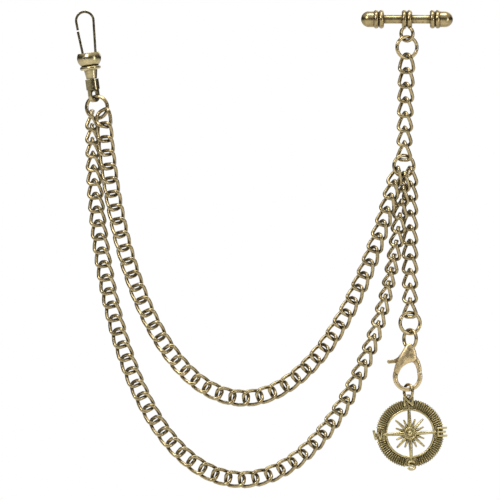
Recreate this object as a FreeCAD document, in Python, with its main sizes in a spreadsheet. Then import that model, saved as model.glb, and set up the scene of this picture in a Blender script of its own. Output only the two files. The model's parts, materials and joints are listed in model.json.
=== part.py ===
import FreeCAD, Part
import bisect
import math
import os
import Sketcher
from FreeCAD import Placement, Rotation, Vector

# Pocket watch chain: a T-bar toggle, a short upper chain, a junction ring that carries two
# draped chains and a drop chain, a lobster clasp with a compass charm, and a swivel watch clasp.
# Frame: origin at the middle of the T-bar, +X along the T-bar, +Z up, -Y towards the front.
# Lengths are in millimetres and angles in degrees.

doc = FreeCAD.newDocument("pocket_watch_chain")

# ---------------------------------------------------------------------------
# Driving sizes
# ---------------------------------------------------------------------------
SIZES = [
    ("T-bar", [
        ("bar_length", 30.0), ("bar_diameter", 2.85), ("collar_diameter", 6.1),
        ("bead_diameter", 1.7), ("collar_bore", 2.89), ("cap_collar_offset", 9.2),
        ("cap_diameter", 5.2), ("cap_socket_end", 13.6),
        ("eye_radius", 2.35), ("eye_drop", 4.75), ("eye_turn", -35.0),
    ]),
    ("Chain wire and link", [
        ("wire", 1.15), ("link_half_length", 2.99), ("link_half_width", 2.6),
        ("link_waist", 2.28), ("link_corner", 1.45), ("link_bow", 4.0), ("link_twist", 40.0),
        ("taut_pitch", 4.77),
    ]),
    ("Upper chain", [
        ("upper_count", 7), ("upper_top", 11.4), ("upper_lean", 1.6),
        ("upper_first_roll", -28.0), ("upper_last_roll", -50.0),
    ]),
    ("Rings", [
        ("ring_radius", 3.45), ("ring_turn", 20.0), ("toggle_ring_drop", 9.2),
        ("ring_slack", 1.5), ("small_ring_radius", 3.0), ("small_ring_turn", -48.0),
        ("small_ring_slack", 1.25), ("charm_ring_radius", 2.35), ("charm_ring_wire", 0.95),
        ("charm_ring_turn", -54.0), ("charm_ring_drop", 14.25),
        ("charm_ring_left", 0.55),
    ]),
    ("Drop chain", [
        ("drop_count", 10), ("drop_side", 2.15), ("ring_seat", 2.2), ("drop_splay", 0.25),
        ("drop_reach", 4.05), ("drop_first_roll", -44.0), ("drop_middle_roll", -39.4),
        ("drop_last_roll", -55.0),
    ]),
    ("Drapes", [
        ("drape_quiet", 35.0), ("drape_end_links", 7), ("start_spread", 45.0),
        ("end_spread", 38.0), ("watch_seat", 2.13),
    ]),
    ("Inner drape", [
        ("inner_count", 46), ("inner_groups", 9), ("inner_start_side", 2.05),
        ("inner_end_side", -2.15), ("inner_left_x", -91.99), ("inner_left_z", -143.89),
        ("inner_right_x", -28.3), ("inner_right_z", -159.38), ("inner_start_splay", -3.4),
        ("inner_start_reach", 2.0), ("inner_start_roll", -8.23), ("inner_start_step", 2.75),
        ("inner_end_splay", -1.56), ("inner_end_reach", 8.77), ("inner_end_roll", 46.25),
        ("inner_end_step", 2.55), ("inner_low_link", 24), ("inner_low_roll", 0.0),
    ]),
    ("Outer drape", [
        ("outer_count", 58), ("outer_groups", 11), ("outer_start_side", -1.78),
        ("outer_end_side", -0.13), ("outer_left_x", -101.54), ("outer_left_z", -195.76),
        ("outer_right_x", -8.66), ("outer_right_z", -178.96), ("outer_start_splay", 1.26),
        ("outer_start_reach", 10.31), ("outer_start_roll", -66.38), ("outer_start_step", 5.32),
        ("outer_end_splay", -1.05), ("outer_end_reach", 4.99), ("outer_end_roll", 44.29),
        ("outer_end_step", -3.26), ("outer_low_link", 28), ("outer_low_roll", 0.0),
    ]),
    ("Lobster clasp", [
        ("claw_body_thickness", 2.8), ("claw_hook_thickness", 1.3), ("claw_slot", 1.3),
        ("lever_thickness", 1.1), ("claw_rivet_radius", 0.45), ("claw_clearance", 0.04),
        ("claw_eye_radius", 0.78), ("lever_pivot_x", 1.2), ("lever_pivot_drop", 2.6),
        ("rivet_head_radius", 0.8), ("rivet_head_thickness", 0.3), ("spring_width", 0.9),
    ]),
    ("Compass charm", [
        ("charm_drop", 27.89), ("charm_turn", 2.8), ("rim_radius", 11.1), ("rim_opening", 7.6),
        ("rim_thickness", 1.0), ("bead_ring_radius", 8.0), ("bead_ring_wire", 0.45),
        ("rib_count", 98), ("rib_inner", 8.5), ("rib_width", 0.34), ("rib_height", 0.3),
        ("hub_radius", 2.03), ("hub_height", 1.7), ("dome_radius", 1.15),
        ("arm_base", 1.15), ("arm_tip", 0.42), ("arm_thickness", 1.2),
        ("diagonal_base", 0.95), ("diagonal_reach", 6.4), ("diagonal_thickness", 1.0),
        ("short_base", 0.7), ("short_reach", 5.0), ("short_thickness", 0.7),
        ("arm_point", 0.08), ("letter_stroke", 0.7), ("letter_height", 3.3),
        ("letter_width", 3.3), ("letter_gap", 8.0), ("letter_radius", 10.6), ("letter_thickness", 1.9),
        ("loop_height", 11.3), ("loop_radius", 1.15), ("loop_wire", 0.35),
        ("loop_opening", 0.7),
    ]),
    ("Swivel clasp", [
        ("clasp_x", -101.3), ("clasp_ring_z", -28.8), ("watch_ring_radius", 3.6),
        ("watch_ring_wire", 1.2), ("watch_ring_turn", -20.0), ("swivel_x", -103.0),
        ("swivel_drop", 19.48), ("clasp_tilt", 7.5), ("eye_plate_turn", 50.0),
        ("cup_radius", 3.92), ("cup_top", 8.6), ("cone_top_radius", 2.18),
        ("cone_bottom_radius", 1.72), ("ferrule_radius", 2.18), ("ferrule_length", 3.45),
        ("swivel_gap", 0.1), ("eye_thickness", 1.3), ("swivel_pin_radius", 0.7),
        ("swivel_play", 0.06), ("pin_head_radius", 1.15), ("pin_head_seat", 1.7),
        ("pin_head_thickness", 0.6), ("head_play", 0.2), ("hook_thickness", 0.8),
        ("hook_width", 2.4), ("hook_top", 22.05), ("hook_tip", 16.3), ("hook_bend", 2.9),
        ("gate_pivot_x", 1.75), ("gate_pivot_z", 7.0), ("gate_pin_radius", 0.4),
        ("gate_pin_length", 6.6), ("gate_clearance", 0.04), ("gate_tip", 15.9),
        ("gate_thickness", 0.8), ("gate_width", 2.2), ("knuckle_radius", 0.85),
        ("knuckle_width", 1.7), ("cup_floor", 4.9), ("leaf_width", 1.4),
    ]),
]

sheet = doc.addObject("Spreadsheet::Sheet", "sizes")
size = {}
row = 1
for heading, entries in SIZES:
    sheet.set("A%d" % row, heading)
    row += 1
    for name, value in entries:
        sheet.set("A%d" % row, name.replace("_", " "))
        sheet.set("B%d" % row, repr(value))
        sheet.setAlias("B%d" % row, name)
        size[name] = value
        row += 1
doc.recompute()

subparts = []


def keep(item, label):
    """Name a finished sub-part and put it on the list that is written out."""
    item.Label = label
    subparts.append(item)
    return item


def bind(item, **expressions):
    for prop, expression in expressions.items():
        item.setExpression(prop, expression)
    return item


def polar(radius, degrees):
    angle = math.radians(degrees)
    return radius * math.cos(angle), radius * math.sin(angle)


# ---------------------------------------------------------------------------
# Sketch and body helpers
# ---------------------------------------------------------------------------
def origin_plane(body, role):
    for feature in body.Origin.OriginFeatures:
        if feature.Role == role:
            return feature
    raise ValueError(role)


def outline(body, name, start, steps, role="XZ_Plane"):
    """Closed sketch: each step is an end point, or a middle and an end point of an arc."""
    sketch = body.newObject("Sketcher::SketchObject", name)
    sketch.AttachmentSupport = [(origin_plane(body, role), "")]
    sketch.MapMode = "FlatFace"
    here = Vector(start[0], start[1], 0)
    for step in steps + [(start,)] * (steps[-1][-1] != start):
        end = Vector(step[-1][0], step[-1][1], 0)
        if len(step) == 2:
            middle = Vector(step[0][0], step[0][1], 0)
            sketch.addGeometry(Part.Arc(here, middle, end), False)
        else:
            sketch.addGeometry(Part.LineSegment(here, end), False)
        here = end
    count = len(sketch.Geometry)
    for index in range(count):
        sketch.addConstraint(Sketcher.Constraint("Block", index))
    return sketch


def turned(label, start, steps, axis="H_Axis"):
    """Body turned in a lathe: the outline revolved about a sketch axis."""
    body = doc.addObject("PartDesign::Body", label)
    sketch = outline(body, label + "_profile", start, steps)
    revolution = body.newObject("PartDesign::Revolution", label + "_turning")
    revolution.Profile = sketch
    revolution.ReferenceAxis = (sketch, [axis])
    revolution.Angle = 360
    return body


def plate(body, name, start, steps, thickness, role="XZ_Plane"):
    """Pad of equal depth on both sides of the sketch plane."""
    sketch = outline(body, name + "_outline", start, steps, role)
    pad = body.newObject("PartDesign::Pad", name)
    pad.Profile = sketch
    pad.Midplane = True
    pad.setExpression("Length", thickness)
    return pad


def slot(body, name, start, steps, width, role="XZ_Plane"):
    """Pocket of equal depth on both sides of the sketch plane."""
    sketch = outline(body, name + "_outline", start, steps, role)
    pocket = body.newObject("PartDesign::Pocket", name)
    pocket.Profile = sketch
    pocket.Midplane = True
    pocket.setExpression("Length", width)
    return pocket


def cylinder(label, radius, height, base, axis):
    item = doc.addObject("Part::Cylinder", label)
    bind(item, Radius=radius, Height=height)
    item.Placement = Placement(base, Rotation(Vector(0, 0, 1), axis))
    return item


def cut(label, base, tool):
    item = doc.addObject("Part::Cut", label)
    item.Base = base
    item.Tool = tool
    return item


def fuse(label, *shapes):
    item = doc.addObject("Part::MultiFuse", label)
    item.Shapes = list(shapes)
    return item


def ring_rotation(turn):
    """A ring standing upright, its plane turned about Z away from the XZ plane."""
    return Rotation(Vector(0, 0, 1), turn) * Rotation(Vector(1, 0, 0), 90)


def ring(label, radius, wire, centre, turn):
    item = doc.addObject("Part::Torus", label)
    bind(item, Radius1=radius, Radius2="(%s) / 2" % wire)
    item.Placement = Placement(centre, ring_rotation(turn))
    return item


X_AXIS = Vector(1, 0, 0)
Y_AXIS = Vector(0, 1, 0)
Z_AXIS = Vector(0, 0, 1)
wire = size["wire"]


# ---------------------------------------------------------------------------
# T-bar: rod, two turned end caps, centre collar and the wire eye under it
# ---------------------------------------------------------------------------
def bead_steps(left, radius, count):
    """Half-round beads side by side along the rod."""
    bead = size["bead_diameter"]
    steps = []
    for index in range(count):
        x = left + bead * index
        steps.append(((x + bead / 2, radius + bead / 2), (x + bead, radius)))
    return steps


bore = size["collar_bore"] / 2
bead_base = (size["collar_diameter"] - size["bead_diameter"]) / 2
cap_left = size["cap_collar_offset"] - size["bead_diameter"]
cap_step = size["cap_collar_offset"] + size["bead_diameter"]
dome = size["cap_diameter"] / 2
bar_end = size["bar_length"] / 2
dome_start = bar_end - dome
dome_x, dome_z = polar(dome, 45)

rod_end = size["cap_socket_end"] - 0.05
rod = cylinder("rod", "sizes.bar_diameter / 2", "2 * (sizes.cap_socket_end - 0.05)",
               Vector(-rod_end, 0, 0), X_AXIS)
keep(rod, "t_bar_rod")

for side, turn in (("left", 180), ("right", 0)):
    cap = turned("t_bar_%s_cap" % side, (cap_left, bore),
                 [((cap_left, bead_base),)] + bead_steps(cap_left, bead_base, 2)
                 + [((cap_step, dome),), ((dome_start, dome),),
                    ((dome_start + dome_x, dome_z), (bar_end, 0.0)),
                    ((size["cap_socket_end"], 0.0),), ((size["cap_socket_end"], bore),)])
    cap.Placement = Placement(Vector(0, 0, 0), Rotation(Z_AXIS, turn))
    keep(cap, "t_bar_%s_cap" % side)

collar_left = -size["bead_diameter"]
collar = turned("t_bar_centre_collar", (collar_left, bore),
                [((collar_left, bead_base),)] + bead_steps(collar_left, bead_base, 2)
                + [((-collar_left, bore),)])
keep(collar, "t_bar_centre_collar")

eye_hoop = ring("eye_hoop", "sizes.eye_radius", "sizes.wire",
                Vector(0, 0, -size["eye_drop"]), size["eye_turn"])
collar_envelope = cylinder("collar_envelope", "sizes.collar_diameter / 2",
                           "4 * sizes.bead_diameter",
                           Vector(-2 * size["bead_diameter"], 0, 0), X_AXIS)
keep(cut("eye", eye_hoop, collar_envelope), "t_bar_eye")

toggle_ring_centre = Vector(0, 0, -size["toggle_ring_drop"])
keep(ring("toggle_ring", "sizes.ring_radius", "sizes.wire", toggle_ring_centre,
          size["ring_turn"]), "t_bar_ring")


# ---------------------------------------------------------------------------
# One curb link: a rounded oval of wire, twisted about its length
# ---------------------------------------------------------------------------
def rounded_path(corners, radii):
    """Edges from the first corner to the last, every corner between them rounded."""
    edges = []
    here = corners[0]
    for before, corner, after, radius in zip(corners, corners[1:], corners[2:], radii):
        back = (before - corner).normalize()
        ahead = (after - corner).normalize()
        half_angle = back.getAngle(ahead) / 2
        run = radius / math.tan(half_angle)
        inward = (back + ahead).normalize()
        enter = corner + back * run
        leave = corner + ahead * run
        middle = corner + inward * (radius / math.sin(half_angle) - radius)
        edges.append(Part.LineSegment(here, enter).toShape())
        edges.append(Part.Arc(enter, middle, leave).toShape())
        here = leave
    edges.append(Part.LineSegment(here, corners[-1]).toShape())
    return edges


def round_loop(edges, diameter):
    """Round wire carried along a closed row of lines and arcs, each face meeting the next."""
    start = edges[0].valueAt(edges[0].FirstParameter)
    heading = edges[0].tangentAt(edges[0].FirstParameter)
    section = Part.Circle(start, heading, diameter / 2).toShape()
    faces = []
    for edge in edges:
        following = section.copy()
        if edge.Curve.TypeId == "Part::GeomLine":
            run = edge.valueAt(edge.LastParameter) - edge.valueAt(edge.FirstParameter)
            faces += section.extrude(run).Faces
            following.translate(run)
        else:
            bend = edge.Curve
            turn = math.degrees(edge.LastParameter - edge.FirstParameter)
            faces += section.revolve(bend.Center, bend.Axis, turn).Faces
            following.rotate(bend.Center, bend.Axis, turn)
        section = following
    return Part.Solid(Part.Shell(faces))


def curb_link_shape():
    half_length = size["link_half_length"]
    across, depth = polar(size["link_half_width"], size["link_twist"])
    waist = Vector(size["link_waist"], 0, 0)
    top = Vector(across, -depth, half_length)
    bottom = Vector(across, depth, -half_length)
    top_left = Vector(-across, depth, half_length)
    bottom_left = Vector(-across, -depth, -half_length)
    seam = (top_left - waist) * 0.5
    bends = [top_left, top, waist, bottom, bottom_left, waist * -1]
    radii = [size["link_corner"], size["link_corner"], size["link_bow"]] * 2
    return round_loop(rounded_path([seam] + bends + [seam], radii), wire)


link_shape = curb_link_shape()


def link_placement(centre, up, roll):
    """Stand a link along a direction, its width in the XZ plane, then roll it about itself."""
    across = Y_AXIS.cross(up)
    frame = Rotation(across, up.cross(across), up, "ZXY")
    return Placement(centre, frame * Rotation(Z_AXIS, roll))


def placed_link(placement):
    copy = link_shape.copy()
    copy.Placement = placement
    return copy


def link_node(label, placement):
    item = doc.addObject("Part::Feature", label)
    item.Shape = link_shape
    item.Placement = placement
    return keep(item, label)


def blend(first, last, share):
    return first + (last - first) * share


half_link = size["link_half_length"]
pitch = size["taut_pitch"]

# Upper chain: straight, leaning a little to the left on its way down
upper_dir = Rotation(Y_AXIS, size["upper_lean"]).multVec(Vector(0, 0, -1))
upper_top = Vector(0, 0, -size["upper_top"])
for index in range(size["upper_count"]):
    roll = blend(size["upper_first_roll"], size["upper_last_roll"],
                 index / (size["upper_count"] - 1))
    link_node("upper_link_%d" % (index + 1),
              link_placement(upper_top + upper_dir * (half_link + pitch * index),
                             upper_dir * -1, roll))

upper_run = 2 * half_link + pitch * (size["upper_count"] - 1)
junction = upper_top + upper_dir * (upper_run - size["ring_slack"] + size["ring_radius"])
keep(ring("junction", "sizes.ring_radius", "sizes.wire", junction, size["ring_turn"]),
     "junction_ring")


# ---------------------------------------------------------------------------
# Drop chain, hanging from the back of the junction ring, and the two rings under it
# ---------------------------------------------------------------------------
def ring_seat(centre, turn, side, seat):
    """Point inside a ring where the end of a link rests, a given way along it from the middle."""
    x, y = polar(side, turn)
    return centre + Vector(x, y, -math.sqrt(seat * seat - side * side))


def between(stations, index):
    """Straight blend between (link index, value) stations."""
    for (left, low), (right, high) in zip(stations, stations[1:]):
        if index <= right:
            return blend(low, high, (index - left) / (right - left))
    return stations[-1][1]


drop_top = ring_seat(junction, size["ring_turn"], size["drop_side"], size["ring_seat"])
drop_count = size["drop_count"]
drop_rolls = [(0, size["drop_first_roll"]), (drop_count - 4, size["drop_middle_roll"]),
              (drop_count - 1, size["drop_last_roll"])]


def drop_point(depth):
    """Point of the drop chain at a depth, eased backwards just under the junction ring."""
    eased = size["drop_splay"] * (1 - math.exp(-depth / size["drop_reach"]))
    return drop_top + Vector(0, eased, -depth)


for index in range(drop_count):
    middle = half_link + pitch * index
    before = drop_point(middle - pitch / 2)
    after = drop_point(middle + pitch / 2)
    link_node("drop_link_%d" % (index + 1),
              link_placement((before + after) * 0.5, (before - after).normalize(),
                             between(drop_rolls, index)))

drop_end = drop_point(2 * half_link + pitch * (drop_count - 1))
drop_ring_centre = drop_end + Z_AXIS * (size["ring_slack"] - size["ring_radius"])
keep(ring("drop_hoop", "sizes.ring_radius", "sizes.wire", drop_ring_centre,
          size["ring_turn"]), "drop_ring")

clasp_ring_drop = size["ring_radius"] + size["small_ring_radius"] - size["small_ring_slack"]
clasp_ring_centre = drop_ring_centre - Z_AXIS * clasp_ring_drop
keep(ring("clasp_hoop", "sizes.small_ring_radius", "sizes.wire", clasp_ring_centre,
          size["small_ring_turn"]), "clasp_ring")


# ---------------------------------------------------------------------------
# Two draped chains between the junction ring and the watch ring
# ---------------------------------------------------------------------------
def bezier(points, t):
    """Point on a cubic curve."""
    weights = [(1 - t) ** 3, 3 * t * (1 - t) ** 2, 3 * t * t * (1 - t), t ** 3]
    total = Vector(0, 0, 0)
    for weight, point in zip(weights, points):
        total += point * weight
    return total


def splay(amount, reach, spread, away):
    """Sideways swing of a chain close to a ring, fading out again further along."""
    return amount * (1 - math.exp(-away / reach)) * math.exp(-(away / spread) ** 2)


def lay_drape(name, start, end):
    """Placements of all the links of one drape, from the watch ring to the junction ring."""
    value = {key: size["%s_%s" % (name, key)] for key in DRAPE_SIZES}
    controls = [start, Vector(value["left_x"], 0, value["left_z"]),
                Vector(value["right_x"], 0, value["right_z"]), end]
    fine = 4000
    samples = [bezier(controls, k / fine) for k in range(fine + 1)]
    runs = [0.0]
    for before, after in zip(samples, samples[1:]):
        runs.append(runs[-1] + math.hypot(after.x - before.x, after.z - before.z))
    length = runs[-1]
    count = value["count"]
    step = (length - 2 * half_link) / (count - 1)
    quiet = size["drape_quiet"]

    def at(run):
        near = min(max(bisect.bisect_left(runs, run), 1), fine)
        share = (run - runs[near - 1]) / (runs[near] - runs[near - 1])
        point = samples[near - 1] + (samples[near] - samples[near - 1]) * share
        middle = min(max((run - quiet) / (length - 2 * quiet), 0), 1)
        point.y = (blend(start.y, end.y, middle * middle * (3 - 2 * middle))
                   + splay(value["start_splay"], value["start_reach"],
                           size["start_spread"], run)
                   + splay(value["end_splay"], value["end_reach"],
                           size["end_spread"], length - run))
        return point

    ends = size["drape_end_links"]
    rolls = [(0, value["start_roll"]),
             (ends, value["start_roll"] + value["start_step"] * ends),
             (value["low_link"], value["low_roll"]),
             (count - 1 - ends, value["end_roll"] - value["end_step"] * ends),
             (count - 1, value["end_roll"])]
    placements = []
    for index in range(count):
        middle = half_link + step * index
        before = at(middle - step / 2)
        after = at(middle + step / 2)
        up = (before - after).normalize()
        placements.append(link_placement((before + after) * 0.5, up, between(rolls, index)))
    return placements


def drape_nodes(name, placements, groups):
    """Runs of links that share a node; the separate links are separate solids in it."""
    count = len(placements)
    for group in range(groups):
        first = round(group * count / groups)
        last = round((group + 1) * count / groups)
        anchor = placements[first]
        links = [placed_link(anchor.inverse() * placement)
                 for placement in placements[first:last]]
        label = "%s_drape_%02d" % (name, group + 1)
        item = doc.addObject("Part::Feature", label)
        item.Shape = Part.makeCompound(links)
        item.Placement = anchor
        keep(item, label)


DRAPE_SIZES = ["count", "left_x", "left_z", "right_x", "right_z",
               "start_splay", "start_reach", "start_roll", "start_step",
               "end_splay", "end_reach", "end_roll", "end_step", "low_link", "low_roll"]

watch_ring = Vector(size["clasp_x"], 0, size["clasp_ring_z"])
keep(ring("watch_hoop", "sizes.watch_ring_radius", "sizes.watch_ring_wire", watch_ring,
          size["watch_ring_turn"]), "watch_ring")

for name in ("inner", "outer"):
    start = ring_seat(watch_ring, size["watch_ring_turn"], size[name + "_start_side"],
                      size["watch_seat"])
    end = ring_seat(junction, size["ring_turn"], size[name + "_end_side"], size["ring_seat"])
    drape_nodes(name, lay_drape(name, start, end), size[name + "_groups"])


# ---------------------------------------------------------------------------
# Lobster clasp. Its outlines are drawn from the middle of the tail hole, hanging down.
# ---------------------------------------------------------------------------
tail_hole = clasp_ring_centre - Z_AXIS * size["small_ring_radius"]
claw_place = Placement(tail_hole, Rotation())
tail_arcs = [((-4.85, -5.5), (-4.0, -3.6)), ((-2.75, -1.3), (-1.5, 0.6)),
             ((-0.1, 1.44), (1.34, 0.3)), ((2.05, -1.6), (2.2, -3.6)), ((1.1, -4.6),),
             ((-2.5, -6.25), (-3.98, -8.9))]
seam_outer = (3.8, -7.8)
seam_inner = (2.33, -8.5)
shoulder = (-5.35, -7.65)

claw_hook = doc.addObject("PartDesign::Body", "claw_hook")
plate(claw_hook, "claw_hook_plate", seam_outer,
      [((-0.95, -14.2), shoulder)] + tail_arcs + [((-0.85, -12.9), seam_inner)],
      "sizes.claw_hook_thickness")
claw_tail = doc.addObject("PartDesign::Body", "claw_tail")
plate(claw_tail, "claw_tail_plate", shoulder, tail_arcs, "sizes.claw_body_thickness")
claw_blank = fuse("claw_blank", claw_hook, claw_tail)

lever_slot = doc.addObject("PartDesign::Body", "lever_slot")
plate(lever_slot, "lever_slot_plate", (-9.0, -1.1),
      [((5.0, -1.1),), ((5.0, -7.2),), ((0.2, -7.2),), ((0.2, -4.72),), ((-1.0, -4.42),),
       ((-4.4, -5.02),), ((-9.0, -5.5),)], "sizes.claw_slot")
claw_slotted = cut("claw_slotted", claw_blank, lever_slot)

pivot = Vector(size["lever_pivot_x"], 0, -size["lever_pivot_drop"])


def cross_pin(label, radius, length, at=pivot):
    """Round bar along Y, centred on a point of the middle plane."""
    item = doc.addObject("Part::Cylinder", label)
    bind(item, Radius=radius, Height=length)
    bind(item, **{"Placement.Base.y": "Height / 2"})
    item.Placement = Placement(at + Y_AXIS * (item.Height.Value / 2),
                               Rotation(X_AXIS, 90))
    return item


rivet_hole = cross_pin("rivet_hole", "sizes.claw_rivet_radius + sizes.claw_clearance / 2",
                       "2 * sizes.claw_body_thickness")
tail_path = doc.addObject("Part::Torus", "tail_path")
bind(tail_path, Radius1="sizes.small_ring_radius", Radius2="sizes.claw_eye_radius")
tail_path.Placement = Placement(Z_AXIS * size["small_ring_radius"],
                                ring_rotation(size["small_ring_turn"]))
claw = cut("claw", claw_slotted, fuse("claw_openings", rivet_hole, tail_path))
claw.Placement = claw_place
keep(claw, "lobster_body")

lever_blank = doc.addObject("PartDesign::Body", "lever_blank")
plate(lever_blank, "lever_plate", (-7.2, -3.85),
      [((-5.6, -3.75), (-4.2, -3.1)), ((-2.6, -2.2), (-1.0, -2.0)),
       ((0.8, -1.72), (2.0, -2.4)), ((3.35, -4.9), (3.78, -7.7)), ((2.36, -8.38),),
       ((2.2, -6.2), (1.1, -4.75)), ((-1.0, -4.3),), ((-4.4, -4.9),), ((-7.0, -5.1),),
       ((-7.5, -4.44), (-7.2, -3.85))], "sizes.lever_thickness")
lever_hole = cross_pin("lever_hole", "sizes.claw_rivet_radius + sizes.claw_clearance",
                       "2 * sizes.claw_body_thickness")
lever = cut("lever", lever_blank, lever_hole)
lever.Placement = claw_place
keep(lever, "lobster_lever")

rivet = fuse("rivet", cross_pin("rivet_shank", "sizes.claw_rivet_radius",
                                "sizes.claw_body_thickness + 2 * sizes.rivet_head_thickness"),
             *[cylinder("rivet_head_%d" % (1 + (way > 0)), "sizes.rivet_head_radius",
                        "sizes.rivet_head_thickness",
                        pivot + Y_AXIS * way * (size["claw_body_thickness"] / 2 + 0.01),
                        Y_AXIS * way) for way in (-1, 1)])
rivet.Placement = claw_place
keep(rivet, "lobster_rivet")

spring = doc.addObject("PartDesign::Body", "claw_spring")
plate(spring, "claw_spring_strip", (1.6, -1.3),
      [((-0.6, -1.3),), ((-2.3, -1.7), (-3.6, -2.5)), ((-3.68, -2.4),),
       ((-2.3, -1.58), (-0.6, -1.16)), ((1.6, -1.16),)], "sizes.spring_width")
spring.Placement = claw_place
keep(spring, "lobster_spring")

charm_ring_centre = tail_hole - Vector(size["charm_ring_left"], 0, size["charm_ring_drop"])
keep(ring("charm_hoop", "sizes.charm_ring_radius", "sizes.charm_ring_wire",
          charm_ring_centre, size["charm_ring_turn"]), "charm_ring")


# ---------------------------------------------------------------------------
# Compass charm, local frame: origin at its centre, north up, front towards -Y
# ---------------------------------------------------------------------------
def disc(label, radius, thickness):
    return cross_pin(label, radius, thickness, Vector(0, 0, 0))


def blade(label, points, thickness):
    """Flat pointed arm through the given outline, as thick as its name says."""
    body = doc.addObject("PartDesign::Body", label)
    plate(body, label + "_plate", points[0], [(point,) for point in points[1:]], thickness)
    return body


def radial(label, base_half, tip_half, inner, outer, direction, thickness):
    """Tapered arm standing out from the centre at an angle from north."""
    arm = blade(label, [(-base_half, inner), (-tip_half, outer), (tip_half, outer),
                        (base_half, inner)], thickness)
    arm.Placement = Placement(Vector(0, 0, 0), Rotation(Y_AXIS, direction))
    return arm


charm_place = Placement(tail_hole - Z_AXIS * size["charm_drop"],
                        Rotation(Y_AXIS, -size["charm_turn"]))
charm_ring_path = doc.addObject("Part::Torus", "charm_ring_path")
bind(charm_ring_path, Radius1="sizes.charm_ring_radius", Radius2="sizes.loop_opening")
charm_ring_path.Placement = charm_place.inverse() * Placement(
    charm_ring_centre, ring_rotation(size["charm_ring_turn"]))


def opened(item):
    """Clear a piece of the compass out of the way of the ring it hangs on."""
    return cut(item.Label + "_opened", item, charm_ring_path)


rim = cut("rim", disc("rim_disc", "sizes.rim_radius", "sizes.rim_thickness"),
          disc("rim_hole", "sizes.rim_opening", "2 * sizes.rim_thickness"))
pieces = [opened(rim)]

beads = doc.addObject("Part::Torus", "rim_bead")
bind(beads, Radius1="sizes.bead_ring_radius", Radius2="sizes.bead_ring_wire")
beads.Placement = Placement(Y_AXIS * (-size["rim_thickness"] / 2), Rotation(X_AXIS, 90))
pieces.append(beads)

for quarter in range(4):
    turn = 90.0 * quarter
    pieces.append(radial("main_arm_%d" % (quarter + 1), size["arm_base"], size["arm_tip"],
                         0.5, size["rim_opening"] + 0.6, turn, "sizes.arm_thickness"))
    pieces.append(radial("diagonal_arm_%d" % (quarter + 1), size["diagonal_base"],
                         size["arm_point"], 0.5, size["diagonal_reach"], turn + 45,
                         "sizes.diagonal_thickness"))
    for side in (-22.5, 22.5):
        pieces.append(radial("short_arm_%d" % (2 * quarter + 1 + (side > 0)),
                             size["short_base"], size["arm_point"], 0.5,
                             size["short_reach"], turn + 45 + side,
                             "sizes.short_thickness"))

pieces.append(disc("hub", "sizes.hub_radius", "sizes.hub_height"))
hub_dome = doc.addObject("Part::Sphere", "hub_dome")
bind(hub_dome, Radius="sizes.dome_radius")
hub_dome.Placement = Placement(Y_AXIS * (-size["hub_height"] / 2 + 0.3), Rotation())
pieces.append(hub_dome)
charm_loop = doc.addObject("Part::Torus", "charm_loop")
bind(charm_loop, Radius1="sizes.loop_radius", Radius2="sizes.loop_wire")
charm_loop.Placement = Placement(Z_AXIS * size["loop_height"], Rotation(X_AXIS, 90))
pieces.append(opened(charm_loop))

letter_strokes = {
    "north": [[(-1, -1), (-1, 1)], [(-1, 1), (1, -1)], [(1, -1), (1, 1)]],
    "east": [[(-1, -1), (-1, 1)], [(-1, 1), (1, 1)], [(-1, 0), (0.8, 0)], [(-1, -1), (1, -1)]],
    "south": [[(1, 1), (-1, 1)], [(-1, 1), (-1, 0)], [(-1, 0), (1, 0)], [(1, 0), (1, -1)],
              [(1, -1), (-1, -1)]],
    "west": [[(-1, 1), (-0.5, -1)], [(-0.5, -1), (0, 0.6)], [(0, 0.6), (0.5, -1)],
             [(0.5, -1), (1, 1)]],
}
letter_spots = {"north": (0, 1), "east": (1, 0), "south": (0, -1), "west": (-1, 0)}


def stroke(label, start, end, width, thickness):
    """Straight bar with square ends from one point to another."""
    run = Vector(end[0] - start[0], 0, end[1] - start[1])
    along = Vector(run).normalize()
    side = Vector(along.z, 0, -along.x) * (width / 2)
    reach = along * (width / 2)
    first = Vector(start[0], 0, start[1]) - reach
    last = Vector(end[0], 0, end[1]) + reach
    corners = [first - side, last - side, last + side, first + side]
    return blade(label, [(corner.x, corner.z) for corner in corners], thickness)


half_width = (size["letter_width"] - size["letter_stroke"]) / 2
half_height = (size["letter_height"] - size["letter_stroke"]) / 2
for name, strokes in letter_strokes.items():
    across, up = letter_spots[name]
    centre_x = across * size["letter_radius"]
    centre_z = up * size["letter_radius"]
    for number, (start, end) in enumerate(strokes):
        bar = stroke("%s_stroke_%d" % (name, number + 1),
                     (centre_x + start[0] * half_width, centre_z + start[1] * half_height),
                     (centre_x + end[0] * half_width, centre_z + end[1] * half_height),
                     size["letter_stroke"], "sizes.letter_thickness")
        pieces.append(opened(bar) if name == "north" else bar)

for index in range(size["rib_count"]):
    angle = 360.0 * (index + 0.5) / size["rib_count"]
    if abs((angle + 45) % 90 - 45) < size["letter_gap"]:
        continue
    turn = Rotation(Y_AXIS, angle)
    spot = Vector(-size["rib_width"] / 2, -size["rim_thickness"] / 2 - size["rib_height"],
                  size["rib_inner"])
    rib = doc.addObject("Part::Box", "rim_rib_%d" % (index + 1))
    bind(rib, Length="sizes.rib_width", Width="sizes.rib_height + 0.1",
         Height="sizes.rim_radius - sizes.rib_inner")
    rib.Placement = Placement(turn.multVec(spot), turn)
    pieces.append(rib)

charm = fuse("charm", *pieces)
charm.Placement = charm_place
keep(charm, "compass_charm")


# ---------------------------------------------------------------------------
# Swivel clasp, local frame: origin between the eye ferrule and the cup, Z along the hook
# ---------------------------------------------------------------------------
clasp_place = Placement(Vector(size["swivel_x"], 0, -size["swivel_drop"]),
                        Rotation(Y_AXIS, -size["clasp_tilt"]))


def upright(label, radius, low, high):
    """Round bar along the clasp axis between two heights."""
    return cylinder(label, radius, "%s" % (high - low), Vector(0, 0, low), Z_AXIS)


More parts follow.
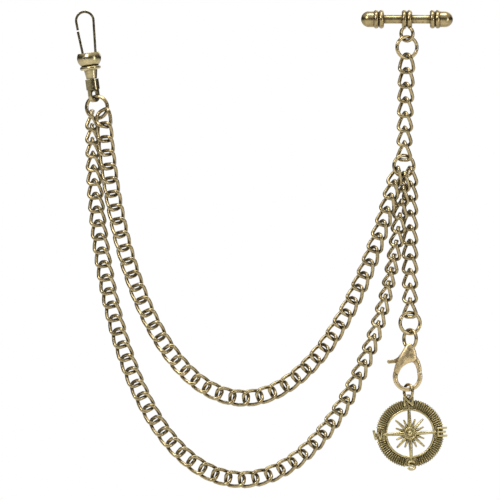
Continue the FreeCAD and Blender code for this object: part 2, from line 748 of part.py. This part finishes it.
ferrule_top = -size["swivel_gap"]
ferrule_base = ferrule_top - size["ferrule_length"]
eye_plate = doc.addObject("PartDesign::Body", "eye_plate")
plate(eye_plate, "eye_plate_pad", (-2.18, ferrule_base + 0.25),
      [((-2.18, -5.5),), ((0.0, -7.68), (2.18, -5.5)), ((2.18, ferrule_base + 0.25),)],
      "sizes.eye_thickness")
slot(eye_plate, "eye_window", (-1.5, -4.6),
     [((-1.5, -5.36),), ((0.0, -6.86), (1.5, -5.36)), ((1.5, -4.6),), ((0.0, -4.0), (-1.5, -4.6))],
     "2 * sizes.eye_thickness")
eye_plate.Placement = Placement(Vector(0, 0, 0), Rotation(Z_AXIS, size["eye_plate_turn"]))
eye_blank = fuse("eye_blank", eye_plate,
                 upright("ferrule", "sizes.ferrule_radius", ferrule_base, ferrule_top))
eye_bores = fuse("eye_bores",
                 upright("pin_bore", "sizes.swivel_pin_radius + sizes.swivel_play",
                         ferrule_base, 0.0),
                 upright("head_bore", "sizes.pin_head_radius + sizes.head_play",
                         ferrule_base, -size["pin_head_seat"] + size["swivel_gap"]))
swivel_eye = cut("swivel_eye_cut", eye_blank, eye_bores)
swivel_eye.Placement = clasp_place
keep(swivel_eye, "swivel_eye")

head_base = -size["pin_head_seat"] - size["pin_head_thickness"]
swivel_pin = fuse("swivel_pin_fuse",
                  upright("pin_shank", "sizes.swivel_pin_radius", head_base, 1.5),
                  upright("pin_head", "sizes.pin_head_radius", head_base,
                          -size["pin_head_seat"]))
swivel_pin.Placement = clasp_place
keep(swivel_pin, "swivel_pin")

socket = size["swivel_pin_radius"] + 0.02
cup_blank = turned("cup_blank", (socket, 0.0),
                   [((size["cone_bottom_radius"], 0.0),), ((size["cone_top_radius"], 2.85),),
                    ((2.35, 3.1),), ((3.4, 3.72), (2.7, 4.3)),
                    ((size["cup_radius"], 6.5), (3.45, size["cup_top"])),
                    ((3.0, size["cup_top"]),), ((3.2, 6.5), (2.3, size["cup_floor"])),
                    ((0.0, size["cup_floor"]),),
                    ((0.0, 1.6),), ((socket, 1.6),)], "V_Axis")
gate_pivot = Vector(-size["gate_pivot_x"], 0, size["gate_pivot_z"])
cup = cut("cup", cup_blank, cross_pin("cup_pin_holes", "sizes.gate_pin_radius + 0.02",
                                      "4 * sizes.cup_radius", gate_pivot))
cup.Placement = clasp_place
keep(cup, "clasp_cup")

gate_pin = cross_pin("gate_pin_bar", "sizes.gate_pin_radius", "sizes.gate_pin_length",
                     gate_pivot)
gate_pin.Placement = clasp_place * gate_pin.Placement
keep(gate_pin, "gate_pin")


def ribbon(corners, radii, thickness, width):
    """Flat strip bent along a rounded path in the middle plane."""
    path = rounded_path([Vector(x, 0, z) for x, z in corners], radii)
    start = Vector(corners[0][0], 0, corners[0][1])
    heading = path[0].tangentAt(path[0].FirstParameter)
    side = heading.cross(Y_AXIS) * (thickness / 2)
    depth = Y_AXIS * (width / 2)
    section = Part.makePolygon([start - side - depth, start + side - depth,
                                start + side + depth, start - side + depth,
                                start - side - depth])
    return Part.Wire(path).makePipe(Part.Face(section))


hook = doc.addObject("Part::Feature", "hook")
hook.Shape = ribbon([(2.1, 5.2), (2.5, 11.0), (3.25, size["hook_top"]),
                     (-2.8, size["hook_top"]), (-2.45, size["hook_tip"])],
                    [15.0, size["hook_bend"], size["hook_bend"]],
                    size["hook_thickness"], size["hook_width"])
hook.Placement = clasp_place
keep(hook, "clasp_hook")

gate_strap = doc.addObject("Part::Feature", "gate_strap")
gate_strap.Shape = ribbon([(gate_pivot.x, gate_pivot.z), (-1.9, 9.0),
                           (-2.5, size["gate_tip"])], [10.0], size["gate_thickness"],
                          size["gate_width"])
gate_blank = fuse("gate_blank", gate_strap, cross_pin("gate_knuckle", "sizes.knuckle_radius",
                                                      "sizes.knuckle_width", gate_pivot))
gate = cut("gate", gate_blank,
           cross_pin("gate_bore", "sizes.gate_pin_radius + sizes.gate_clearance",
                     "4 * sizes.gate_width", gate_pivot))
gate.Placement = clasp_place
keep(gate, "clasp_gate")

gate_leaf = doc.addObject("PartDesign::Body", "gate_leaf")
plate(gate_leaf, "gate_leaf_strip", (1.5, size["cup_floor"]),
      [((0.6, size["cup_floor"]),), ((0.0, 5.15), (-0.25, 5.7)), ((-0.68, 7.2), (-1.36, 8.5)),
       ((-1.23, 8.58),), ((-0.53, 7.25), (-0.1, 5.72)), ((0.13, 5.27), (0.6, 5.05)),
       ((1.5, 5.05),)], "sizes.leaf_width")
gate_leaf.Placement = clasp_place
keep(gate_leaf, "gate_spring")


# ---------------------------------------------------------------------------
# Check every object, then write one STEP file per sub-part
# ---------------------------------------------------------------------------
doc.recompute()
for item in doc.Objects:
    if "Invalid" in item.State or "Error" in item.State:
        raise RuntimeError("%s did not build: %s" % (item.Label, item.State))
for item in subparts:
    if item.Shape.isNull() or not item.Shape.isValid():
        raise RuntimeError("%s has no valid solid" % item.Label)

os.makedirs("parts", exist_ok=True)
for item in subparts:
    item.Shape.exportStep("parts/%s.step" % item.Label)
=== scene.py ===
import json
import math

import bmesh
import bpy
from mathutils import Matrix, Vector


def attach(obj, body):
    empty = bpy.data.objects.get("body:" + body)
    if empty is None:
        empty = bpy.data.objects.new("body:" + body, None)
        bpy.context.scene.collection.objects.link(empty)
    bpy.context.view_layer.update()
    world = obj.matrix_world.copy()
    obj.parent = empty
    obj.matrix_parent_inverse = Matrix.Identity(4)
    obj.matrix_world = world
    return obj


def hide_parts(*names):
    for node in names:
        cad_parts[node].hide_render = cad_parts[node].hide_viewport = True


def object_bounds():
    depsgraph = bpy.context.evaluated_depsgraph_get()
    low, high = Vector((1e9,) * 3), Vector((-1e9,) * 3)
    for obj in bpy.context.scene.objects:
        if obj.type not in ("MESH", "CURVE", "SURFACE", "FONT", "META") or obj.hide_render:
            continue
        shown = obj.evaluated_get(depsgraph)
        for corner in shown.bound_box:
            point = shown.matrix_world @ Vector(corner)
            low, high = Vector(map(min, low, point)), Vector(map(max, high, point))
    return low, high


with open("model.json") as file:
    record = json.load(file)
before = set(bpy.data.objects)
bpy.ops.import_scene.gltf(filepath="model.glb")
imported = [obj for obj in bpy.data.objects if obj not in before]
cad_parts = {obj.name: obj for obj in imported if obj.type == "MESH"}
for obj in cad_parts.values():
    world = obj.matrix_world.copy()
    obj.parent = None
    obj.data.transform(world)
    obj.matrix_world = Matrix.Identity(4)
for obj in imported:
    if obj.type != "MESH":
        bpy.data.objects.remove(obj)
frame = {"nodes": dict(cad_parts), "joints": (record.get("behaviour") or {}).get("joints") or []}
cad_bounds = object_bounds()
MM = 0.001
CAD_SMOOTH_ANGLE = math.radians(32)
PIECE_SMOOTH_ANGLE = math.radians(34)
SAME_POINT = 1e-6
Y_AXIS = Vector((0, 1, 0))
Z_AXIS = Vector((0, 0, 1))
joints = {joint["name"]: joint for joint in frame["joints"]}


# ---------------------------------------------------------------------------
# Antique brass materials: patina and painted shade in the recesses, rubbed metal and painted
# highlights on the edges
# ---------------------------------------------------------------------------
# Noise patterns as (features per metre, detail)
CLOUD = (260.0, 4.0)
MOTTLE = (1100.0, 6.0)
SPECK = (4200.0, 3.0)
STREAK = (5200.0, 2.0)
STREAK_STRETCH = (1.0, 1.0, 0.12)
AO_SAMPLES, BEVEL_SAMPLES = 8, 4
EDGE_RADIUS = 0.12 * MM
GRAIN_HEIGHT = 0.04 * MM
GRAIN_STRENGTH = 0.22
METALLIC = 0.97
# Hollow and speck colours: patina, which in the hollows also stands in for painted shade
PATINA_AND_SHADE = (0.026, 0.016, 0.004, 1)
DEEP_PATINA_AND_SHADE = (0.020, 0.013, 0.004, 1)
STEEL_PATINA_AND_SHADE = (0.08, 0.075, 0.07, 1)


class Nodes:
    """Short way to add and link shader nodes."""

    def __init__(self, name):
        self.material = bpy.data.materials.new(name)
        self.material.use_nodes = True
        self.tree = self.material.node_tree
        self.tree.nodes.clear()

    def add(self, kind, inputs=None, **settings):
        node = self.tree.nodes.new("ShaderNode" + kind)
        for key, value in settings.items():
            setattr(node, key, value)
        for key, value in (inputs or {}).items():
            if isinstance(value, bpy.types.NodeSocket):
                self.tree.links.new(value, node.inputs[key])
            else:
                node.inputs[key].default_value = value
        return node

    def noise(self, pattern, vector):
        """Value of a (scale, detail) noise pattern."""
        scale, detail = pattern
        return self.add("TexNoise", {"Scale": scale, "Detail": detail, "Vector": vector}).outputs[0]

    def math(self, operation, first, second=0.0, clamp=False):
        node = self.add("Math", {0: first, 1: second}, operation=operation, use_clamp=clamp)
        return node.outputs[0]

    def ramp(self, value, low, high, start=0.0, end=1.0):
        """Clamped straight ramp from low..high to start..end."""
        node = self.add("MapRange", {"Value": value, "From Min": low, "From Max": high,
                                     "To Min": start, "To Max": end}, clamp=True)
        return node.outputs[0]

    def mix(self, factor, first, second):
        node = self.add("MixRGB", {0: factor, 1: first, 2: second})
        return node.outputs[0]


def brass(name, patina_and_shade, body, bright, rough, recess=1.3):
    """Antiqued metal: patina and painted shade in the hollows, rubbed wear and painted highlights on
    the edges; recess is the reach in mm over which hollows are painted dark.
    """
    n = Nodes(name)
    where = n.add("TexCoord").outputs["Object"]
    occlusion = n.add("AmbientOcclusion", {"Distance": recess * MM},
                      samples=AO_SAMPLES).outputs["AO"]
    rounded = n.add("Bevel", {"Radius": EDGE_RADIUS}, samples=BEVEL_SAMPLES).outputs[0]
    facing = n.add("NewGeometry").outputs["Normal"]
    bend = n.add("VectorMath", {0: rounded, 1: facing}, operation="DOT_PRODUCT").outputs["Value"]
    # Painted highlight: edges found from the bevel normal are lightened towards the bright colour,
    # along with rubbed wear
    worn_and_highlit = n.ramp(bend, 0.995, 0.86)
    cloud = n.noise(CLOUD, where)
    mottle = n.noise(MOTTLE, where)
    speck = n.noise(SPECK, where)
    stretched = n.add("Mapping", {"Vector": where, "Scale": STREAK_STRETCH}).outputs[0]
    streak = n.noise(STREAK, stretched)

    # Painted shade: hollows found by ambient occlusion are darkened towards the patina colour, along
    # with real patina
    clear_of_patina_and_shade = n.math("ADD", n.ramp(occlusion, 0.35, 0.95),
                       n.ramp(mottle, 0.3, 0.7, -0.16, 0.16), clamp=True)
    tone = n.math("ADD", n.ramp(cloud, 0.3, 0.7, 0.1, 0.55),
                  n.ramp(mottle, 0.35, 0.65, -0.12, 0.12), clamp=True)
    colour = n.mix(tone, body, bright)
    # Edges lightened: rubbed wear and painted highlight
    colour = n.mix(n.math("MULTIPLY", worn_and_highlit, 0.65), colour, bright)
    # Hollows darkened: patina and painted shade
    colour = n.mix(clear_of_patina_and_shade, patina_and_shade, colour)
    colour = n.mix(n.ramp(speck, 0.66, 0.78, 0.0, 0.45), colour, patina_and_shade)

    roughness = n.math("ADD", n.ramp(mottle, 0.3, 0.7, rough - 0.07, rough + 0.1),
                       n.ramp(clear_of_patina_and_shade, 0.0, 1.0, 0.25, 0.0))
    height = n.math("ADD", n.math("MULTIPLY", mottle, 0.5), n.math("MULTIPLY", streak, 0.35))
    height = n.math("ADD", height, n.math("MULTIPLY", speck, 0.3))
    bump = n.add("Bump", {"Strength": GRAIN_STRENGTH, "Distance": GRAIN_HEIGHT, "Height": height,
                          "Normal": rounded}).outputs[0]
    shader = n.add("BsdfPrincipled", {"Base Color": colour, "Metallic": METALLIC,
                                      "Roughness": roughness, "Normal": bump})
    n.add("OutputMaterial", {"Surface": shader.outputs[0]})
    return n.material


CHAIN = brass("chain_brass", PATINA_AND_SHADE, (0.29, 0.225, 0.108, 1), (0.66, 0.545, 0.32, 1), 0.22)
RING = brass("ring_brass", PATINA_AND_SHADE, (0.34, 0.265, 0.13, 1), (0.72, 0.59, 0.34, 1), 0.2)
BAR = brass("bar_brass", PATINA_AND_SHADE, (0.28, 0.215, 0.10, 1), (0.62, 0.505, 0.28, 1), 0.24)
CLASP = brass("clasp_brass", PATINA_AND_SHADE, (0.60, 0.465, 0.25, 1), (0.88, 0.71, 0.42, 1), 0.34)
CHARM = brass("charm_brass", DEEP_PATINA_AND_SHADE, (0.42, 0.345, 0.15, 1),
              (0.80, 0.69, 0.38, 1), 0.26, recess=0.5)
SWIVEL = brass("swivel_brass", PATINA_AND_SHADE, (0.42, 0.345, 0.18, 1), (0.76, 0.65, 0.38, 1), 0.18)
SPRING = brass("spring_steel", STEEL_PATINA_AND_SHADE, (0.42, 0.41, 0.38, 1),
               (0.75, 0.74, 0.71, 1), 0.25)


def finish_node(name):
    """Material of a CAD node."""
    if "link" in name or "drape" in name:
        return CHAIN
    if name.endswith("_spring"):
        return SPRING
    if name.endswith("_ring") or name == "t_bar_eye":
        return RING
    if name.startswith("t_bar"):
        return BAR
    if name.startswith("lobster"):
        return CLASP
    return SWIVEL


for name, node in frame["nodes"].items():
    node.data.materials.clear()
    node.data.materials.append(finish_node(name))
    node.data.set_sharp_from_angle(angle=CAD_SMOOTH_ANGLE)


# ---------------------------------------------------------------------------
# Mesh helpers
# ---------------------------------------------------------------------------
def arc(start, middle, end, count=10):
    """Points of the circular arc through three points, the start left out."""
    (ax, ay), (bx, by), (cx, cy) = start, middle, end
    d = 2 * (ax * (by - cy) + bx * (cy - ay) + cx * (ay - by))
    ux = ((ax * ax + ay * ay) * (by - cy) + (bx * bx + by * by) * (cy - ay)
          + (cx * cx + cy * cy) * (ay - by)) / d
    uy = ((ax * ax + ay * ay) * (cx - bx) + (bx * bx + by * by) * (ax - cx)
          + (cx * cx + cy * cy) * (bx - ax)) / d
    radius = math.hypot(ax - ux, ay - uy)
    first = math.atan2(ay - uy, ax - ux)
    via = (math.atan2(by - uy, bx - ux) - first) % (2 * math.pi)
    last = (math.atan2(cy - uy, cx - ux) - first) % (2 * math.pi)
    if via > last:
        last -= 2 * math.pi
    return [(ux + radius * math.cos(first + last * k / count),
             uy + radius * math.sin(first + last * k / count)) for k in range(1, count + 1)]


def outline(start, steps):
    """Closed outline from end points and (middle, end) arcs."""
    points = [start]
    for step in steps:
        points += arc(points[-1], step[0], step[1]) if len(step) == 2 else [step[0]]
    if math.dist(points[0], points[-1]) < SAME_POINT:
        points.pop()
    return points


def piece(name, mesh_builder, material, body, place):
    """Object from a bmesh in millimetres, placed in the frame and carried by a CAD body."""
    bm = bmesh.new()
    mesh_builder(bm)
    bmesh.ops.scale(bm, vec=(MM, MM, MM), verts=bm.verts)
    bmesh.ops.recalc_face_normals(bm, faces=bm.faces)
    mesh = bpy.data.meshes.new(name)
    bm.to_mesh(mesh)
    bm.free()
    mesh.shade_smooth()
    mesh.set_sharp_from_angle(angle=PIECE_SMOOTH_ANGLE)
    mesh.materials.append(material)
    item = bpy.data.objects.new(name, mesh)
    bpy.context.scene.collection.objects.link(item)
    item.matrix_world = place
    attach(item, body)
    return item


def loft(bm, loops, closed=False):
    """Skin a row of equal loops; open rows are capped at both ends."""
    rows = [[bm.verts.new(point) for point in loop] for loop in loops]
    pairs = list(zip(rows, rows[1:])) + ([(rows[-1], rows[0])] if closed else [])
    for lower, upper in pairs:
        for k in range(len(lower)):
            bm.faces.new((lower[k - 1], lower[k], upper[k], upper[k - 1]))
    if not closed:
        bm.faces.new(rows[0])
        bm.faces.new(list(reversed(rows[-1])))


def ring_loft(bm, profile, sides=96):
    """Turn a closed (radius, depth) profile about the Y axis."""
    loops = []
    for k in range(sides):
        angle = 2 * math.pi * k / sides
        loops.append([(r * math.cos(angle), depth, r * math.sin(angle)) for r, depth in profile])
    loft(bm, loops, closed=True)


def dome(bm, profile, sides=48):
    """Turn an open (radius, depth) profile about the Y axis, its ends closed flat."""
    loft(bm, [[(r * math.cos(2 * math.pi * k / sides), depth, r * math.sin(2 * math.pi * k / sides))
               for k in range(sides)] for r, depth in profile])


def rod(bm, start, end, first, last, depth, middle=0.0, steps=5, sides=12):
    """Rounded bar in the XZ plane that tapers from one half width to another, with domed ends."""
    a, b = Vector((start[0], 0, start[1])), Vector((end[0], 0, end[1]))
    run = (b - a).normalized()
    across = run.cross(Y_AXIS)
    stations = [(a - run * first * math.cos(math.pi / 2 * k / steps),
                 math.sin(math.pi / 2 * k / steps), first) for k in range(1, steps + 1)]
    stations += [(b + run * last * math.sin(math.pi / 2 * k / steps),
                  math.cos(math.pi / 2 * k / steps), last) for k in range(steps)]
    loops = []
    for centre, swell, half in stations:
        loops.append([centre + across * half * swell * math.cos(2 * math.pi * k / sides)
                      + Y_AXIS * (middle + depth * swell * math.sin(2 * math.pi * k / sides))
                      for k in range(sides)])
    loft(bm, loops)


def around(radius, degrees):
    """Point of the compass card at an angle clockwise from north."""
    return (radius * math.sin(math.radians(degrees)), radius * math.cos(math.radians(degrees)))


def circle_profile(centre, depth, wire, count=12):
    """Round (radius, depth) profile of a bead of wire."""
    return [(centre + wire * math.cos(2 * math.pi * k / count),
             depth + wire * math.sin(2 * math.pi * k / count)) for k in range(count)]


# ---------------------------------------------------------------------------
# Compass charm, local frame: centre, front towards -Y, north up
# ---------------------------------------------------------------------------
# Sizes in mm and degrees; a bar is (inner radius, outer radius, half width in, half width out,
# half depth, middle depth)
TAIL_HOLE = Vector(joints["lobster_swing"]["pos_m"])
COMPASS_DROP = 27.89 * MM
COMPASS_TILT = -2.8
RIM_INNER, RIM_OUTER, RIM_HALF, RIM_CROWN = 7.6, 10.7, 0.3, 0.15
RIM_BEAD = (RIM_INNER + 0.2, -0.38, 0.36)
RIB_COUNT = 84
RIB = (RIM_INNER + 0.8, RIM_OUTER + 0.2, 0.19, 0.27, 0.6, -0.15)
SHORT_RAY = (1.5, 4.7, 0.55, 0.3, 0.4, 0.15)
MIDDLE_RAY = (1.5, 6.1, 0.6, 0.34, 0.5, 0.0)
LONG_RAY = (1.5, 9.2, 0.75, 0.42, 0.62, -0.2)
HUB = [(1.9, 0.6), (2.0, 0.4), (2.0, -0.5), (1.8, -0.7)]
HUB_BEAD = (1.75, -0.75, 0.32)
KNOB_RADIUS, KNOB_SWELL, KNOB_BASE, KNOB_RISE = 1.0, 0.98, -0.6, 0.75
LETTER_GAP = 9.0
LETTER_RADIUS, LETTER_HALF = 10.5, 1.3
STROKE, LETTER_DEPTH, LETTER_MIDDLE = 0.42, 0.6, -0.75
LOOP_HEIGHT, LOOP_RADIUS, LOOP_WIRE, LOOP_SIDES = 11.3, 1.15, 0.35, 48


def letter_strokes(letter):
    """Strokes of a plain block letter in a square of side 2."""
    if letter == "N":
        return [((-1, -1), (-1, 1)), ((-1, 1), (1, -1)), ((1, -1), (1, 1))]
    if letter == "E":
        return [((-1, -1), (-1, 1)), ((-1, 1), (1, 1)), ((-1, 0), (0.7, 0)), ((-1, -1), (1, -1))]
    if letter == "W":
        return [((-1, 1), (-0.6, -1)), ((-0.6, -1), (0, 0.5)), ((0, 0.5), (0.6, -1)),
                ((0.6, -1), (1, 1))]
    bend = [(0.8 * math.cos(math.radians(a)), 0.5 + 0.5 * math.sin(math.radians(a)))
            for a in range(20, 271, 25)]  # upper half of the S, turned over for the lower half
    bend += [(-x, -z) for x, z in reversed(bend)]
    return list(zip(bend, bend[1:]))


def card_bar(bm, angle, shape, **detail):
    """Radial bar of the compass card."""
    inner, outer, first, last, depth, middle = shape
    rod(bm, around(inner, angle), around(outer, angle), first, last, depth, middle, **detail)


def compass_mesh(bm):
    ring_loft(bm, [(RIM_INNER, -RIM_HALF), (RIM_OUTER, -RIM_HALF), (RIM_OUTER + RIM_CROWN, 0),
                   (RIM_OUTER, RIM_HALF), (RIM_INNER, RIM_HALF)])
    ring_loft(bm, circle_profile(*RIM_BEAD))
    for k in range(RIB_COUNT):
        angle = 360.0 * k / RIB_COUNT
        if abs((angle + 45) % 90 - 45) > LETTER_GAP:
            card_bar(bm, angle, RIB, steps=4, sides=12)
    for k in range(8):
        card_bar(bm, 22.5 + 45 * k, SHORT_RAY)
    for k in range(4):
        card_bar(bm, 45 + 90 * k, MIDDLE_RAY)
        card_bar(bm, 90 * k, LONG_RAY)
    dome(bm, HUB)
    ring_loft(bm, circle_profile(*HUB_BEAD), 48)
    dome(bm, [(KNOB_RADIUS, 0.0)]
         + [(KNOB_SWELL * math.cos(math.radians(a)),
             KNOB_BASE - KNOB_RISE * math.sin(math.radians(a))) for a in range(0, 88, 12)], 32)
    for letter, angle in (("N", 0), ("E", 90), ("S", 180), ("W", 270)):
        x, z = around(LETTER_RADIUS, angle)
        for start, end in letter_strokes(letter):
            rod(bm, (x + start[0] * LETTER_HALF, z + start[1] * LETTER_HALF),
                (x + end[0] * LETTER_HALF, z + end[1] * LETTER_HALF), STROKE, STROKE,
                LETTER_DEPTH, middle=LETTER_MIDDLE, steps=3, sides=8)
    loops = []
    for k in range(LOOP_SIDES):
        angle = 2 * math.pi * k / LOOP_SIDES
        loops.append([((LOOP_RADIUS + r) * math.cos(angle), depth,
                       LOOP_HEIGHT + (LOOP_RADIUS + r) * math.sin(angle))
                      for r, depth in circle_profile(0, 0, LOOP_WIRE)])
    loft(bm, loops, closed=True)


compass_place = Matrix.Translation(TAIL_HOLE - Z_AXIS * COMPASS_DROP) @ Matrix.Rotation(
    math.radians(COMPASS_TILT), 4, "Y")
compass = piece("compass_casting", compass_mesh, CHARM, "compass_charm", compass_place)
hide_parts("compass_charm")


# ---------------------------------------------------------------------------
# Lobster clasp: swollen cheeks over the plates, local frame: tail hole, XZ plane
# ---------------------------------------------------------------------------
def swelling(points, centre, base, height, rings=7):
    """Domes on both faces of a plate: the outline drawn in towards a centre as it rises."""
    def build(bm):
        for side in (-1, 1):
            loops = []
            for k in range(rings):
                angle = math.pi / 2 * k / rings
                size = math.cos(angle)
                rise = side * (base + height * math.sin(angle))
                loops.append([(centre[0] + (x - centre[0]) * size, rise,
                               centre[1] + (z - centre[1]) * size) for x, z in points])
            loft(bm, loops)
    return build


def swollen_band(outer, inner, base, height, sides=8):
    """Half-round ribs over both faces of a curved band between two matching arcs."""
    def build(bm):
        for side in (-1, 1):
            loops = []
            for (ox, oz), (ix, iz) in zip(outer, inner):
                loop = []
                for k in range(sides + 1):
                    angle = math.pi * k / sides
                    mix = (1 - math.cos(angle)) / 2
                    loop.append((ox + (ix - ox) * mix, side * (base + height * math.sin(angle)),
                                 oz + (iz - oz) * mix))
                loops.append(loop)
            loft(bm, loops)
    return build


# Outlines in mm from the tail hole; (centre, base, height) of each swelling
CHEEK_CENTRE, CHEEK_BASE, CHEEK_HEIGHT = (-1.2, -3.0), 1.38, 0.75
HOOK_BASE, HOOK_HEIGHT, HOOK_STEPS = 0.6, 0.42, 28
ARM_BASE, ARM_HEIGHT, ARM_STEPS = 0.5, 0.5, 14
claw_place = Matrix.Translation(TAIL_HOLE)
cheek = outline((-4.85, -5.5), [((-4.0, -3.6),), ((-2.75, -1.3), (-1.5, 0.6)),
                                ((-0.1, 1.44), (1.34, 0.3)), ((2.05, -1.6), (2.2, -3.6)),
                                ((1.1, -4.6),), ((-2.5, -6.25), (-3.98, -8.9)),
                                ((-5.3, -7.4),)])
piece("lobster_cheeks", swelling(cheek, CHEEK_CENTRE, CHEEK_BASE, CHEEK_HEIGHT), CLASP,
      "lobster_clasp", claw_place)
hook_outer = [(-5.35, -7.65)] + arc((-5.35, -7.65), (-0.95, -14.2), (3.8, -7.8), HOOK_STEPS)
hook_inner = [(-3.98, -8.3)] + arc((-3.98, -8.3), (-0.85, -12.9), (2.33, -8.5), HOOK_STEPS)
piece("lobster_hook_rounding", swollen_band(hook_outer, hook_inner, HOOK_BASE, HOOK_HEIGHT),
      CLASP, "lobster_clasp", claw_place)
arm_outer = [(2.0, -2.4)] + arc((2.0, -2.4), (3.35, -4.9), (3.78, -7.7), ARM_STEPS)
arm_inner = [(1.1, -4.75)] + arc((1.1, -4.75), (2.0, -6.4), (2.36, -8.38), ARM_STEPS)
piece("lobster_arm_rounding", swollen_band(arm_outer, arm_inner, ARM_BASE, ARM_HEIGHT),
      CLASP, "lobster_lever", claw_place)


# ---------------------------------------------------------------------------
# Studio
# ---------------------------------------------------------------------------
LOW = Vector(cad_bounds[0])
HIGH = Vector(cad_bounds[1])
MIDDLE = (LOW + HIGH) / 2
VIEW_SIZE = 0.1634
VIEW_SHIFT = Vector((-0.00454, 0, -0.0003))
VIEW_DISTANCE, VIEW_END = 0.5, 5.0
FLOOR_GAP, FLOOR_REACH = 0.012, 1.5
PAPER_SCALE, PAPER_DARK, PAPER_LIGHT, PAPER_BLUE, PAPER_ROUGH = (60.0, 3.0), 0.86, 0.89, 0.985, 0.8
SKY_BOTTOM = (0.07, 0.067, 0.06, 1)
SKY_TOP = (0.85, 0.84, 0.82, 1)
SKY_STOPS = ((0.42, 0.04), (0.53, 0.02), (0.66, 0.10), (0.80, 0.60))
SKY_TINT = (1, 0.985, 0.96)
WHITE = (1, 1, 1, 1)
# Lamps as (name, place from the middle, size, watts, colour)
LAMPS = (
    ("key", (-0.26, -0.42, 0.34), (0.16, 0.22), 1.3, (1, 0.98, 0.95)),
    ("fill", (0.42, -0.36, 0.05), (0.10, 0.34), 0.5, (1, 1, 1)),
    ("top", (0.02, -0.10, 0.55), (0.40, 0.12), 1.3, (1, 1, 1)),
    ("front", (0.10, -0.60, -0.20), (0.08, 0.08), 0.06, (1, 1, 1)),
    ("back", (0.20, 0.50, 0.30), (0.4, 0.4), 0.7, (1, 1, 1)),
)


def lamp(name, place, size, power, colour):
    """Area lamp aimed at the middle of the part."""
    data = bpy.data.lights.new(name, "AREA")
    data.shape = "RECTANGLE"
    data.size, data.size_y = size
    data.energy = power
    data.color = colour
    item = bpy.data.objects.new(name, data)
    bpy.context.scene.collection.objects.link(item)
    item.location = MIDDLE + Vector(place)
    item.rotation_euler = (MIDDLE - item.location).to_track_quat("-Z", "Y").to_euler()


def studio_world():
    """Graded surroundings for the metal to reflect; plain white to the camera."""
    world = bpy.data.worlds.new("studio")
    bpy.context.scene.world = world
    world.use_nodes = True
    tree = world.node_tree
    tree.nodes.clear()

    def add(kind, **settings):
        node = tree.nodes.new("ShaderNode" + kind)
        for key, value in settings.items():
            setattr(node, key, value)
        return node

    coords = add("TexCoord")
    split = add("SeparateXYZ")
    tree.links.new(coords.outputs["Generated"], split.inputs[0])
    ramp = add("ValToRGB")
    stops = ramp.color_ramp.elements
    stops[0].position = 0.0
    stops[0].color = SKY_BOTTOM
    stops[1].position = 1.0
    stops[1].color = SKY_TOP
    for where, level in SKY_STOPS:
        stop = stops.new(where)
        stop.color = (*(level * part for part in SKY_TINT), 1)
    height = add("MapRange")
    height.inputs["From Min"].default_value = -1
    tree.links.new(split.outputs["Z"], height.inputs["Value"])
    tree.links.new(height.outputs[0], ramp.inputs[0])
    seen = add("LightPath")
    mix = add("MixRGB")
    tree.links.new(seen.outputs["Is Camera Ray"], mix.inputs[0])
    tree.links.new(ramp.outputs[0], mix.inputs[1])
    mix.inputs[2].default_value = WHITE
    background = add("Background")
    tree.links.new(mix.outputs[0], background.inputs[0])
    output = add("OutputWorld")
    tree.links.new(background.outputs[0], output.inputs[0])


def floor():
    mesh = bpy.data.meshes.new("floor")
    corners = [(x * FLOOR_REACH, y * FLOOR_REACH, 0) for x, y in ((-1, -1), (1, -1), (1, 1), (-1, 1))]
    mesh.from_pydata(corners, [], [(0, 1, 2, 3)])
    n = Nodes("floor_paper")
    where = n.add("TexCoord").outputs["Object"]
    shade = n.ramp(n.noise(PAPER_SCALE, where), 0.3, 0.7, PAPER_DARK, PAPER_LIGHT)
    paper = n.add("CombineColor", {0: shade, 1: shade, 2: n.math("MULTIPLY", shade, PAPER_BLUE)})
    shader = n.add("BsdfPrincipled", {"Base Color": paper.outputs[0], "Roughness": PAPER_ROUGH})
    n.add("OutputMaterial", {"Surface": shader.outputs[0]})
    mesh.materials.append(n.material)
    item = bpy.data.objects.new("floor", mesh)
    bpy.context.scene.collection.objects.link(item)
    item.location = (MIDDLE.x, MIDDLE.y, LOW.z - FLOOR_GAP)


def camera():
    data = bpy.data.cameras.new("camera")
    data.type = "ORTHO"
    data.ortho_scale = VIEW_SIZE
    data.clip_end = VIEW_END
    item = bpy.data.objects.new("camera", data)
    bpy.context.scene.collection.objects.link(item)
    item.location = MIDDLE + VIEW_SHIFT + Vector((0, -VIEW_DISTANCE, 0))
    item.rotation_euler = (math.pi / 2, 0, 0)
    bpy.context.scene.camera = item


studio_world()
floor()
for entry in LAMPS:
    lamp(*entry)
camera()
bpy.context.scene.view_settings.view_transform = "Standard"
